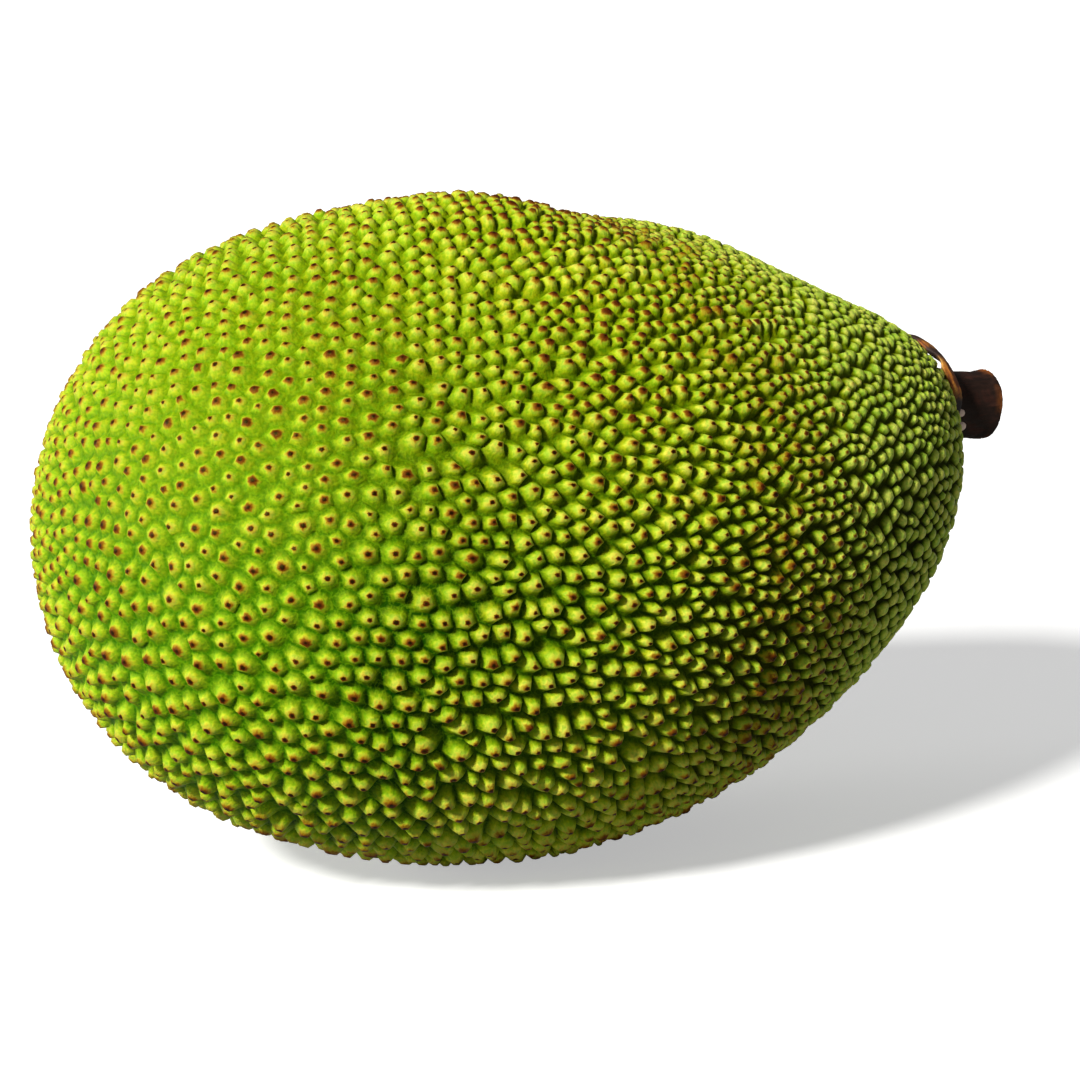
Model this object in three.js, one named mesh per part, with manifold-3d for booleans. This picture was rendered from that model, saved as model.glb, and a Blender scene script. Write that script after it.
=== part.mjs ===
// A whole jackfruit, as picked, lying on its side: the rind with its hexagonal tubercles, the cut
// stem, and the dried collar that rings the stem's foot and stands off the shoulder in an arch.
// Millimetres, +Z up. The fruit's long axis runs along X, with the stem at +X and the blossom end
// at -X. The origin is on the surface that the fruit lies on, under the middle of its box.
//
// The fruit's form is one formula, skinAt: it takes a direction out of the fruit's middle and gives
// the point of the surface that the tubercle tips reach. Each tubercle is a six-sided pyramid, with
// its tip on that surface and the valleys round it sunk below.

import * as THREE from "three";
import { ConvexHull } from "three/addons/math/ConvexHull.js";
import { mergeVertices } from "three/addons/utils/BufferGeometryUtils.js";
import Module from "manifold-3d";

const wasm = await Module();
wasm.setup();

// ---------------------------------------------------------------- driving dimensions

const HALF_LENGTH = 220; // half of the fruit's length over the tips, without the stem
const GIRTH_RADIUS = 142; // the round body's radius before the profile shapes it
const PROFILE = [1, -0.164, -0.081, -0.076, 0.066]; // radius along the axis, as a polynomial
const SAG = [12.9, 16.4]; // how far the axis bows down, in the middle and growing to the stem
const SIDE_BOW = 3.6; // how far the axis bows towards -Y
const PITCH = THREE.MathUtils.degToRad(4.8); // the stem end is carried this much higher
const FRUIT_AT = new THREE.Vector3(-14.47, 3.57, 156.5); // the fruit's middle over the origin

// Swells and dents of the flesh: [share of the radius, place along the axis from -1 to 1, degrees
// round the axis from +Y by +Z, sharpness].
const SWELLS = [
  [0.051, -0.13, 100, 30],
  [-0.037, 0.27, 93, 30],
  [0.063, 0.49, 73, 30],
  [-0.052, 0.71, 97, 30],
  [0.1, 0.88, 218, 16],
  [0.027, -0.08, -80, 10],
  [0.03, -0.35, 20, 14],
  [-0.025, 0.05, 5, 20],
  [0.03, 0.42, -25, 20],
  [0.03, -0.6, 60, 12],
  [0.032, -0.62, -62, 12],
];

// Tubercles, larger than life so that they can cover the whole fruit.
const SPACING_UPPER = [17.2, 16.4, 10.2]; // tip to tip on the top: blossom end, middle, stem end
const SPACING_LOWER = [16.4, 18.4, 11.8]; // the same on the underside
const VALLEY_SHARE = 0.42; // a valley's depth as a share of the spacing
const STRAY = 0.11; // how far a tip strays from its seat, as a share of the spacing
const GOLDEN_ANGLE = Math.PI * (3 - Math.sqrt(5)); // the turn from one tubercle to the next
const LAST_SEAT = 0.9995; // no tubercle sits further along the axis than this, from -1 to 1
const MERIDIAN_STEPS = 480;
const SEED = 20417;

const STEM_RADIUS = 15.9;
const STEM_LENGTH = 27.6; // beyond the tips at the fruit's end
const STEM_ROOT = 9; // sunk into the fruit
const STEM_RISE = 1.7; // its middle is this far above the fruit's own end
const STEM_DROOP = THREE.MathUtils.degToRad(6); // below the horizontal
const STEM_SIDES = 26;

// The stem's side from its root to its cut: [share of its radius, height above the skin].
const STEM_PROFILE = [
  [0.9, -STEM_ROOT],
  [1.1, -1],
  [1.05, 3],
  [1.01, 8],
  [1, STEM_LENGTH - 8],
  [1.03, STEM_LENGTH - 4],
  [1.03, STEM_LENGTH - 1.8],
  [0.95, STEM_LENGTH],
  [0.55, STEM_LENGTH + 0.7],
];
const CUT_MIDDLE = 0.4; // how far the middle of the cut stands beyond STEM_LENGTH

// How far the stem departs from round, as shares of its radius.
const STEM_OVAL = 0.025;
const STEM_RIBS = 0.02; // five shallow ribs, that grow towards the cut
const LIP = 0.05; // the torn lip of the cut, on one side
const LIP_FROM = 7; // it starts to stand out this far below the cut
const LIP_FULL = 2; // and is full from here
const LIP_AT = 1.9; // its place round the stem from +Y by +Z, in radians

const COLLAR_RADIUS = 20.5; // middle of the band, round the stem's foot
const COLLAR_THICK = 3; // from its inner to its outer side
const COLLAR_TALL = 5.2;
const COLLAR_SINK = 2.2; // how deep its foot is set into the rind
const ARCH_LIFT = 1.7; // how far the arch's middle stands off the rind
const ARCH_REACH = 10.4; // how much further out the arch runs than the band
const ARCH_THICK = 5.6;
const ARCH_TALL = 6.4;
const ARCH_AT = THREE.MathUtils.degToRad(122); // the arch's middle, round the stem from +Y by +Z
const ARCH_HALF_ANGLE = THREE.MathUtils.degToRad(60);
const NICK = 0.38; // the share of the arch's height that has split away from below, in one stretch
const NICK_AT = THREE.MathUtils.degToRad(133);
const NICK_HALF_ANGLE = THREE.MathUtils.degToRad(8);
const COLLAR_WANDER = 0.5; // how far the band strays in and out round the stem
const COLLAR_RAGGED = [0.1, 0.08]; // how much its height varies in three and in seven waves
const COLLAR_STEPS = 44;
const COLLAR_SIDES = 8;

const SEAT_GAP = 0.3; // between one piece and the next

// ---------------------------------------------------------------- the fruit's form

// A unit direction from its place along the axis and its angle round it.
function direction(along, angle) {
  const out = Math.sqrt(Math.max(0, 1 - along * along));
  return new THREE.Vector3(along, out * Math.cos(angle), out * Math.sin(angle));
}

const swells = SWELLS.map(([share, along, degrees, sharpness]) => ({
  share,
  sharpness,
  centre: direction(along, THREE.MathUtils.degToRad(degrees)),
}));

// The round body's radius factor at a place along the axis.
function profileAt(along) {
  return PROFILE.reduce((sum, factor, power) => sum + factor * along ** power, 0);
}

// The point where the tips' surface is met in that direction, in the part's frame.
function skinAt(d) {
  const swell = swells.reduce(
    (sum, s) => sum + s.share * Math.exp(s.sharpness * (d.dot(s.centre) - 1)),
    1,
  );
  const radius = GIRTH_RADIUS * profileAt(d.x) * swell;
  const bow = 1 - d.x * d.x;
  const p = new THREE.Vector3(
    HALF_LENGTH * d.x,
    radius * d.y - bow * SIDE_BOW,
    radius * d.z - bow * (SAG[0] + SAG[1] * d.x),
  );
  return p.applyAxisAngle(new THREE.Vector3(0, -1, 0), PITCH).add(FRUIT_AT);
}

// The surface's outward normal in that direction, from two neighbouring points.
function normalAt(d) {
  const step = 1e-3;
  const side = new THREE.Vector3(0, 0, 1);
  if (Math.abs(d.z) > 0.8) side.set(0, 1, 0);
  const e1 = new THREE.Vector3().crossVectors(side, d).normalize();
  const e2 = new THREE.Vector3().crossVectors(d, e1);
  const here = skinAt(d);
  const a = skinAt(d.clone().addScaledVector(e1, step).normalize()).sub(here);
  const b = skinAt(d.clone().addScaledVector(e2, step).normalize()).sub(here);
  return a.cross(b).normalize();
}

// ---------------------------------------------------------------- where the tubercles sit

// A small seeded generator of numbers from 0 to 1.
function seededRandom(seed) {
  let state = seed >>> 0;
  return () => {
    state = (state + 0x6d2b79f5) >>> 0;
    let t = Math.imul(state ^ (state >>> 15), 1 | state);
    t = (t + Math.imul(t ^ (t >>> 7), 61 | t)) ^ t;
    return ((t ^ (t >>> 14)) >>> 0) / 4294967296;
  };
}

// Tip to tip at a place along the axis: from the blossom end through the middle to the stem.
function spacingAlong([blossom, middle, stem], along) {
  const end = along < 0 ? blossom : stem;
  const blend = THREE.MathUtils.smoothstep(Math.abs(along), 0.05, 1);
  return THREE.MathUtils.lerp(middle, end, blend);
}

// How much a side of the fruit belongs to its top, from 0 to 1.
function topShare(angle) {
  return 0.5 + 0.5 * Math.sin(angle);
}

// Rows along the meridian: how many tubercles lie behind each place if the whole fruit were like its
// top or like its underside, and the conformal latitude, which keeps small circles round.
function meridianTable() {
  const rows = [{ along: -1, upper: 0, lower: 0, latitude: 0 }];
  const rim = (along) => GIRTH_RADIUS * Math.sqrt(1 - along * along) * profileAt(along);
  for (let i = 1; i <= MERIDIAN_STEPS; i++) {
    const before = rows[i - 1];
    const along = -Math.cos((Math.PI * i) / MERIDIAN_STEPS);
    const middle = -Math.cos((Math.PI * (i - 0.5)) / MERIDIAN_STEPS);
    const length = Math.hypot(
      HALF_LENGTH * (along - before.along),
      rim(Math.min(1, along)) - rim(before.along),
    );
    const count = (spacing) =>
      (2 * Math.PI * rim(middle) * length) / (Math.sqrt(0.75) * spacing ** 2);
    rows.push({
      along,
      upper: before.upper + count(spacingAlong(SPACING_UPPER, middle)),
      lower: before.lower + count(spacingAlong(SPACING_LOWER, middle)),
      latitude: before.latitude + length / rim(middle),
    });
  }
  return rows;
}

// Each seat on the golden spiral: where it lies on the fruit, and on the unit sphere whose convex
// hull tells which tubercles are neighbours.
function tubercleSeats() {
  const rows = meridianTable();
  const random = seededRandom(SEED);
  const last = rows[rows.length - 1];
  const middleLatitude = rows[MERIDIAN_STEPS / 2].latitude;
  const total = Math.round((last.upper + last.lower) / 2);
  const seats = [];
  for (let n = 0; n < total; n++) {
    const turn = n * GOLDEN_ANGLE;
    const share = topShare(turn);
    const countAt = (row) => share * row.upper + (1 - share) * row.lower;
    const wanted = ((n + 0.5) / total) * countAt(last);
    let low = 0;
    let high = MERIDIAN_STEPS;
    while (high - low > 1) {
      const half = (low + high) >> 1;
      if (countAt(rows[half]) < wanted) low = half;
      else high = half;
    }
    const t = (wanted - countAt(rows[low])) / (countAt(rows[high]) - countAt(rows[low]));
    const along = THREE.MathUtils.lerp(rows[low].along, rows[high].along, t);
    const spacing = THREE.MathUtils.lerp(
      spacingAlong(SPACING_LOWER, along),
      spacingAlong(SPACING_UPPER, along),
      share,
    );
    const rim = GIRTH_RADIUS * Math.sqrt(1 - along * along) * profileAt(along);
    const stray = STRAY * spacing;
    const angle = turn + ((random() * 2 - 1) * stray) / Math.max(rim, spacing);
    const shifted = THREE.MathUtils.clamp(
      along + ((random() * 2 - 1) * stray * Math.sqrt(1 - along * along)) / HALF_LENGTH,
      -LAST_SEAT,
      LAST_SEAT,
    );
    const latitude =
      THREE.MathUtils.lerp(rows[low].latitude, rows[high].latitude, t) - middleLatitude;
    seats.push({
      on: direction(shifted, angle),
      globe: direction(Math.tanh(latitude), angle),
      spacing,
    });
  }
  return seats;
}

// ---------------------------------------------------------------- solids

// A mesh geometry as a manifold-3d solid.
function solidOf(geometry) {
  const bare = new THREE.BufferGeometry();
  bare.setAttribute("position", geometry.getAttribute("position"));
  bare.setIndex(geometry.index);
  const merged = mergeVertices(bare, 1e-4);
  return new wasm.Manifold(
    new wasm.Mesh({
      numProp: 3,
      vertProperties: new Float32Array(merged.attributes.position.array),
      triVerts: new Uint32Array(merged.index.array),
    }),
  );
}

// And back.
function geometryOf(solid) {
  const mesh = solid.getMesh();
  const positions = new Float32Array(mesh.numVert * 3);
  for (let i = 0; i < mesh.numVert; i++)
    positions.set(
      mesh.vertProperties.subarray(i * mesh.numProp, i * mesh.numProp + 3),
      i * 3,
    );
  const geometry = new THREE.BufferGeometry();
  geometry.setAttribute("position", new THREE.BufferAttribute(positions, 3));
  geometry.setIndex(new THREE.BufferAttribute(mesh.triVerts, 1));
  geometry.computeVertexNormals();
  return geometry;
}

// The rind as grown: pyramids side by side, one round each seat, with shared valleys.
function tuberclesSolid() {
  const seats = tubercleSeats();
  const points = seats.map((seat) => seat.globe);
  const indexOf = new Map(points.map((point, i) => [point, i]));
  const hull = new ConvexHull().setFromPoints(points);
  const positions = [];
  const triangles = [];
  for (const seat of seats) positions.push(...skinAt(seat.on).toArray());

  // A valley's lowest point lies under the middle of each three neighbouring tips.
  const valleyOf = new Map();
  for (const face of hull.faces) {
    const corners = [];
    let edge = face.edge;
    do {
      corners.push(seats[indexOf.get(edge.head().point)]);
      edge = edge.next;
    } while (edge !== face.edge);
    const d = new THREE.Vector3();
    corners.forEach((corner) => d.add(corner.on));
    d.normalize();
    const spacing = corners.reduce((sum, c) => sum + c.spacing, 0) / corners.length;
    const p = skinAt(d).addScaledVector(normalAt(d), -VALLEY_SHARE * spacing);
    valleyOf.set(face, positions.length / 3);
    positions.push(...p.toArray());
  }

  // One facet for each side of a pyramid: from the tip down to the valley on that side.
  for (const face of hull.faces) {
    let edge = face.edge;
    do {
      const tip = indexOf.get(edge.tail().point);
      triangles.push(tip, valleyOf.get(edge.twin.face), valleyOf.get(face));
      edge = edge.next;
    } while (edge !== face.edge);
  }
  const geometry = new THREE.BufferGeometry();
  geometry.setAttribute("position", new THREE.Float32BufferAttribute(positions, 3));
  geometry.setIndex(triangles);
  return solidOf(geometry);
}

// The stem end: its middle on the tips' surface, and the frame in which the stem and collar are made,
// with z out along the stem and x towards the part's +Y.
const stemFoot = skinAt(new THREE.Vector3(1, 0, 0)).setZ(
  skinAt(new THREE.Vector3(1, 0, 0)).z + STEM_RISE,
);
const stemAxis = new THREE.Vector3(Math.cos(STEM_DROOP), 0, -Math.sin(STEM_DROOP));
const stemFrame = new THREE.Matrix4()
  .makeBasis(
    new THREE.Vector3(0, 1, 0),
    new THREE.Vector3().crossVectors(stemAxis, new THREE.Vector3(0, 1, 0)),
    stemAxis,
  )
  .setPosition(stemFoot);

// The stem as a turned profile, made uneven: oval, ribbed, and with a lip at the cut that stands
// highest on the upper side. grow widens it, to cut its seat.
function stemGeometry(grow) {
  const side = STEM_PROFILE.map(
    ([share, height]) => new THREE.Vector2(share * STEM_RADIUS + grow, height),
  );
  side[0].y -= grow;
  const profile = [
    new THREE.Vector2(0, side[0].y),
    ...side,
    new THREE.Vector2(0, STEM_LENGTH + CUT_MIDDLE),
  ];
  const geometry = new THREE.LatheGeometry(profile, STEM_SIDES);
  geometry.rotateX(Math.PI / 2);
  const position = geometry.attributes.position;
  for (let i = 0; i < position.count; i++) {
    const x = position.getX(i);
    const y = position.getY(i);
    const z = position.getZ(i);
    const angle = Math.atan2(y, x);
    const up = THREE.MathUtils.smoothstep(z, 0, STEM_LENGTH);
    const oval = STEM_OVAL * Math.cos(2 * angle + 0.7);
    const ribs = STEM_RIBS * up * Math.cos(5 * angle - 0.4);
    const nearCut = THREE.MathUtils.smoothstep(z, STEM_LENGTH - LIP_FROM, STEM_LENGTH - LIP_FULL);
    const lip = LIP * nearCut * Math.max(0, Math.cos(angle - LIP_AT)) ** 3;
    const uneven = 1 + oval + ribs + lip;
    position.setXY(i, x * uneven, y * uneven);
  }
  return geometry.applyMatrix4(stemFrame);
}

// How much of the arch is felt at an angle round the stem, from 0 to 1.
function archAt(angle) {
  const away = Math.atan2(Math.sin(angle - ARCH_AT), Math.cos(angle - ARCH_AT));
  const share = Math.max(0, 1 - (away / ARCH_HALF_ANGLE) ** 2);
  return share * share * (3 - 2 * share);
}

// The collar: a band with rounded edges round the stem's foot, its own foot in the rind, that lifts
// off over the shoulder as an arch. grow widens it, to cut its seat.
function collarGeometry(grow) {
  const geometry = new THREE.TorusGeometry(
    COLLAR_RADIUS,
    1,
    COLLAR_SIDES,
    COLLAR_STEPS,
  );
  const position = geometry.attributes.position;
  for (let i = 0; i < position.count; i++) {
    const x = position.getX(i);
    const y = position.getY(i);
    const acrossUnit = Math.hypot(x, y) - COLLAR_RADIUS;
    const tallUnit = position.getZ(i);
    const angle = Math.atan2(y, x);
    const arch = archAt(angle);
    const [three, seven] = COLLAR_RAGGED;
    const ragged = 1 + three * Math.sin(3 * angle + 1) + seven * Math.sin(7 * angle);
    const radius = COLLAR_RADIUS + ARCH_REACH * arch + COLLAR_WANDER * Math.sin(4 * angle);
    const half = THREE.MathUtils.lerp(COLLAR_THICK, ARCH_THICK, arch) / 2 + grow;
    const across = radius + acrossUnit * half;
    const outX = Math.cos(angle) * across;
    const outY = Math.sin(angle) * across;
    const rind = shoulderHeight(outX, outY);
    const middle = rind - COLLAR_SINK + COLLAR_TALL / 2 + ARCH_LIFT * arch;
    const halfTall = (THREE.MathUtils.lerp(COLLAR_TALL, ARCH_TALL, arch) / 2) * ragged;
    const nick = NICK * Math.max(0, 1 - ((angle - NICK_AT) / NICK_HALF_ANGLE) ** 2);
    const tall = tallUnit * (halfTall * (1 - nick) + grow) + nick * halfTall;
    position.setXYZ(i, outX, outY, middle + tall);
  }
  return geometry.applyMatrix4(stemFrame);
}

// How far the tips' surface lies along the stem's axis at a place beside the stem, in its frame.
function shoulderHeight(x, y) {
  const toStem = stemFrame.clone().invert();
  const d = new THREE.Vector3(1, 0, 0);
  const p = new THREE.Vector3();
  for (let pass = 0; pass < 12; pass++) {
    p.copy(skinAt(d)).applyMatrix4(toStem);
    const scale = 1 / (GIRTH_RADIUS * profileAt(1));
    d.set(d.x, d.y + (x - p.x) * scale, d.z + (y - p.y) * scale);
    d.x = Math.sqrt(Math.max(0, 1 - d.y * d.y - d.z * d.z));
  }
  return p.z;
}

// Everything below the surface that the fruit lies on, which flattens the lowest tips.
function groundSolid() {
  const size = 4 * HALF_LENGTH;
  return solidOf(new THREE.BoxGeometry(size, size, size).translate(0, 0, -size / 2));
}

// ---------------------------------------------------------------- the object

function named(name, geometry, color, roughness) {
  const material = new THREE.MeshStandardMaterial({ color, roughness, metalness: 0 });
  const mesh = new THREE.Mesh(geometry, material);
  mesh.name = name;
  return mesh;
}

const stemSeat = solidOf(stemGeometry(SEAT_GAP));
const collarSeat = solidOf(collarGeometry(SEAT_GAP));
const rindSolid = tuberclesSolid()
  .subtract(groundSolid())
  .subtract(stemSeat)
  .subtract(collarSeat);
const collarSolid = solidOf(collarGeometry(0)).subtract(stemSeat);

const jackfruit = new THREE.Group();
jackfruit.add(
  named("rind", geometryOf(rindSolid), 0x9cbf1e, 0.5),
  named("stem", stemGeometry(0), 0x38251b, 0.75),
  named("collar", geometryOf(collarSolid), 0x7a5427, 0.7),
);

export default jackfruit;
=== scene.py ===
# %% [markdown]
# # A jackfruit lying on its side
# A jackfruit is one big fruit grown from thousands of flowers. Each flower leaves a tubercle on the
# rind: a six-sided cone with a small dry scar at its tip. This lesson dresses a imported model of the
# fruit, which has the right size and form but only a few coarse tubercles.

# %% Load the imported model
import math
import random

import bmesh
import bpy
from mathutils import Matrix, Vector, kdtree, noise
from mathutils.geometry import delaunay_2d_cdt


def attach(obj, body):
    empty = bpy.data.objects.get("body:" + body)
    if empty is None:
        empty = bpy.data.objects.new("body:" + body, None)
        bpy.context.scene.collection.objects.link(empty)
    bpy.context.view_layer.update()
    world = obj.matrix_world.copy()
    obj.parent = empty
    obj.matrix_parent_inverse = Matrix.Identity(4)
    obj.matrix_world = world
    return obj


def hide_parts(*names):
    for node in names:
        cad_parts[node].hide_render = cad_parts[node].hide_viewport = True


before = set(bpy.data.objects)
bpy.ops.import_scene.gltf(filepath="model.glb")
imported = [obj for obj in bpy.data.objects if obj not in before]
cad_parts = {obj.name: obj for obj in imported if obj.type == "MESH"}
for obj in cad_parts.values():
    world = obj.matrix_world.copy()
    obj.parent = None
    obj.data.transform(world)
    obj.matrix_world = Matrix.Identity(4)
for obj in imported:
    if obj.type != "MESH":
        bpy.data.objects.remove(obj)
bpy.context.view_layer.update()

MM = 0.001

# %% [markdown]
# ## The form of the fruit
# The body isn't a plain egg: it is fullest near the blossom end, narrows to the stem, bows a little
# and has broad swells where more pods grew. One formula holds all of that. It takes a direction out
# of the fruit's middle and gives the point that the tubercle tips reach, so anything can be placed on
# the skin by naming a direction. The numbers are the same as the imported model's own.

# %% The skin as a formula
HALF_LENGTH = 220 * MM
GIRTH_RADIUS = 142 * MM
PROFILE = (1, -0.164, -0.081, -0.076, 0.066)  # radius along the axis, as a polynomial
SAG = (12.9 * MM, 16.4 * MM)  # how far the axis bows down, in the middle and growing to the stem
SIDE_BOW = 3.6 * MM
PITCH = math.radians(4.8)  # the stem end is carried this much higher
FRUIT_AT = Vector((-14.47 * MM, 3.57 * MM, 156.5 * MM))

# share of the radius, place along the axis from -1 to 1, degrees round it, sharpness
SWELLS = (
    (0.051, -0.13, 100, 30),
    (-0.037, 0.27, 93, 30),
    (0.063, 0.49, 73, 30),
    (-0.052, 0.71, 97, 30),
    (0.1, 0.88, 218, 16),
    (0.027, -0.08, -80, 10),
    (0.03, -0.35, 20, 14),
    (-0.025, 0.05, 5, 20),
    (0.03, 0.42, -25, 20),
    (0.03, -0.6, 60, 12),
    (0.032, -0.62, -62, 12),
)


def direction(along, angle):
    """A unit direction from its place along the axis, -1 to 1, and its angle round it."""
    out = math.sqrt(max(0.0, 1 - along * along))
    return Vector((along, out * math.cos(angle), out * math.sin(angle)))


swell_centres = [
    (share, direction(along, math.radians(degrees)), sharpness)
    for share, along, degrees, sharpness in SWELLS
]
cos_pitch, sin_pitch = math.cos(PITCH), math.sin(PITCH)


def profile_at(along):
    """The body's radius at a place along the axis, as a share of the girth's."""
    return sum(factor * along**power for power, factor in enumerate(PROFILE))


def skin_at(d):
    """The point that the tubercle tips reach in that direction."""
    swell = 1 + sum(
        share * math.exp(sharpness * (d.dot(centre) - 1))
        for share, centre, sharpness in swell_centres
    )
    radius = GIRTH_RADIUS * profile_at(d.x) * swell
    bow = 1 - d.x * d.x
    x = HALF_LENGTH * d.x
    y = radius * d.y - bow * SIDE_BOW
    z = radius * d.z - bow * (SAG[0] + SAG[1] * d.x)
    return FRUIT_AT + Vector((x * cos_pitch - z * sin_pitch, y, x * sin_pitch + z * cos_pitch))


print("stem end of the skin:", skin_at(Vector((1, 0, 0))))
print("blossom end of the skin:", skin_at(Vector((-1, 0, 0))))

# %% [markdown]
# ## Which way the skin faces
# A tubercle stands square on the skin, so the outward direction is needed at any place. It could be
# worked out on paper, but two more points, a small step to the east and to the north, give it too.

# %% The skin's normal
def normal_at(d, step=1e-3):
    """The skin's outward normal in that direction."""
    side = Vector((0, 1, 0)) if abs(d.z) > 0.8 else Vector((0, 0, 1))
    east = side.cross(d).normalized()
    north = d.cross(east)
    here = skin_at(d)
    to_east = skin_at((d + east * step).normalized()) - here
    to_north = skin_at((d + north * step).normalized()) - here
    return to_east.cross(to_north).normalized()


print("outward over the top of the girth:", normal_at(Vector((0, 0, 1))))

# %% [markdown]
# ## How close the tubercles sit
# They sit widest apart at the blossom end and closest at the stem. They also crowd together over the
# top, and spread apart round the underside, which has swelled more. A few values along the fruit say
# all of that, with smooth steps between them.

# %% Spacing
SPACING_AT = (-1, -0.55, 0, 0.5, 1)  # places along the axis for the next line
SPACING = (10.2 * MM, 10.0 * MM, 8.9 * MM, 7.9 * MM, 7.2 * MM)  # tip to tip, halfway up the side
TOP_CROWDING = 0.3  # how much denser the seats are over the top, and thinner underneath


def smooth(value, low, high):
    """0 below low, 1 above high, and a smooth rise between them."""
    t = min(1.0, max(0.0, (value - low) / (high - low)))
    return t * t * (3 - 2 * t)


def mixed(a, b, share):
    return a + (b - a) * share


def side_spacing(along):
    """Tip to tip at a place along the axis, halfway up the side."""
    spans = list(zip(SPACING_AT, SPACING_AT[1:], SPACING, SPACING[1:]))
    start, end, a, b = next(span for span in spans if along <= span[1] or span is spans[-1])
    return mixed(a, b, smooth(along, start, end))


def how_high(d):
    """How high up the side a direction points, from -1 underneath to 1 over the top."""
    return d.z / max(1e-6, math.hypot(d.y, d.z))


def spacing_at(d):
    """Tip to tip in that direction."""
    return side_spacing(d.x) / math.sqrt(1 + TOP_CROWDING * how_high(d))


print("spacing over the top of the girth:", spacing_at(Vector((0, 0, 1))))
print("spacing underneath it:", spacing_at(Vector((0, 0, -1))))

# %% [markdown]
# ## Room for the seats
# Each tubercle needs a six-sided cell of its own. So the body is cut into many narrow belts, and the
# cells that fit on each belt are counted from the blossom end. The same rows carry a latitude, from
# which a flat map of the seats is drawn later on.

# %% Rows along the fruit
MERIDIAN_STEPS = 480
HEXAGON_AREA = math.sqrt(0.75)  # of a six-sided cell, as a share of the spacing squared


def rim_at(along):
    """The plain round body's radius at a place along the axis."""
    return GIRTH_RADIUS * math.sqrt(max(0.0, 1 - along * along)) * profile_at(along)


def meridian():
    """Rows of (along, seats so far, latitude on a map that keeps small circles round)."""
    rows = [(-1.0, 0.0, 0.0)]
    for i in range(1, MERIDIAN_STEPS + 1):
        before = rows[-1]
        along = -math.cos(math.pi * i / MERIDIAN_STEPS)
        middle = -math.cos(math.pi * (i - 0.5) / MERIDIAN_STEPS)
        length = math.hypot(
            HALF_LENGTH * (along - before[0]), rim_at(min(1.0, along)) - rim_at(before[0])
        )
        belt = math.tau * rim_at(middle) * length
        count = belt / (HEXAGON_AREA * side_spacing(middle) ** 2)
        rows.append((along, before[1] + count, before[2] + length / rim_at(middle)))
    return rows


rows = meridian()
print("room for", round(rows[-1][1]), "seats")

# %% [markdown]
# ## A spiral of seats
# Flowers on the young fruit grow in a spiral, each a near golden turn after the last. A turn of
# 34/89 is close to golden, so the seats spread evenly at the ends, and at the girth they fall into 89
# rows along the fruit. Each seat then strays, because nothing that grows is exact, and here and there
# no tubercle grew at all.

# %% Seats on a spiral
TURN = math.tau * 34 / 89
STRAY = (0.38, 0.6)  # how far a tip strays, as a share of the spacing: least and most
MISSING = 0.01  # the share of seats where no tubercle grew, so that its neighbours spread
LAST_SEAT = 0.9997  # no tubercle sits further along the axis than this, from -1 to 1
LEAST_RIM = 4 * MM  # the turn of a stray tip is worked out on a circle of at least this radius
CROWDING_ROUNDS = 16  # enough for the crowded angle to settle


def stray_at(d):
    """How far a tip strays from its seat, which is most over the top of the stem half."""
    restless = smooth(d.x, 0.0, 0.45) * smooth(how_high(d), -0.35, 0.25)
    return mixed(STRAY[0], STRAY[1], restless) * spacing_at(d)


def crowded(turned):
    """The angle of a seat, from its angle if the seats were spread evenly."""
    angle = turned
    for _ in range(CROWDING_ROUNDS):
        angle = turned + TOP_CROWDING * math.cos(angle)
    return angle


def spiral_seats(seed):
    """Each seat's direction."""
    draw = random.Random(seed)
    seats = []
    row = 0
    for n in range(round(rows[-1][1])):
        while rows[row + 1][1] < n + 0.5:
            row += 1
        t = (n + 0.5 - rows[row][1]) / (rows[row + 1][1] - rows[row][1])
        along = mixed(rows[row][0], rows[row + 1][0], t)
        angle = crowded(n * TURN % math.tau)
        stray = stray_at(direction(along, angle)) / max(rim_at(along), LEAST_RIM)
        turn, rise = draw.uniform(-stray, stray), draw.uniform(-stray, stray)
        if draw.random() < MISSING:
            continue
        along += rise * rim_at(along) * math.sqrt(1 - along * along) / HALF_LENGTH
        along = min(LAST_SEAT, max(-LAST_SEAT, along))
        seats.append(direction(along, angle + turn))
    return seats


seats = spiral_seats(seed=20417)
print(len(seats), "seats on the spiral")

# %% [markdown]
# ## Elbow room
# Tubercles that came too close push each other away as they grow. The rind has stretched along the
# fruit on its sides and top, and round it underneath, so seats push from further off in the direction
# of the stretch. A tree of places finds the near neighbours quickly, and a few rounds of small pushes
# are enough.

# %% Seats pushed apart
ELBOW_ROOM = 0.87  # seats nearer than this share of the spacing push each other away
PUSHES = 9  # how many times they do
PUSH = 0.3  # how far each time, as a share of what is lacking
LENGTHENED = (0.85, 1.3)  # spacing along the fruit against that round it: underneath, higher up


def lengthened_at(d):
    """The spacing along the fruit against that round it, which is even at the blossom end."""
    ratio = mixed(LENGTHENED[0], LENGTHENED[1], smooth(how_high(d), -0.7, 0.0))
    return mixed(1, ratio, smooth(d.x, -0.6, -0.2) * smooth(-d.x, -0.95, -0.7))


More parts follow.
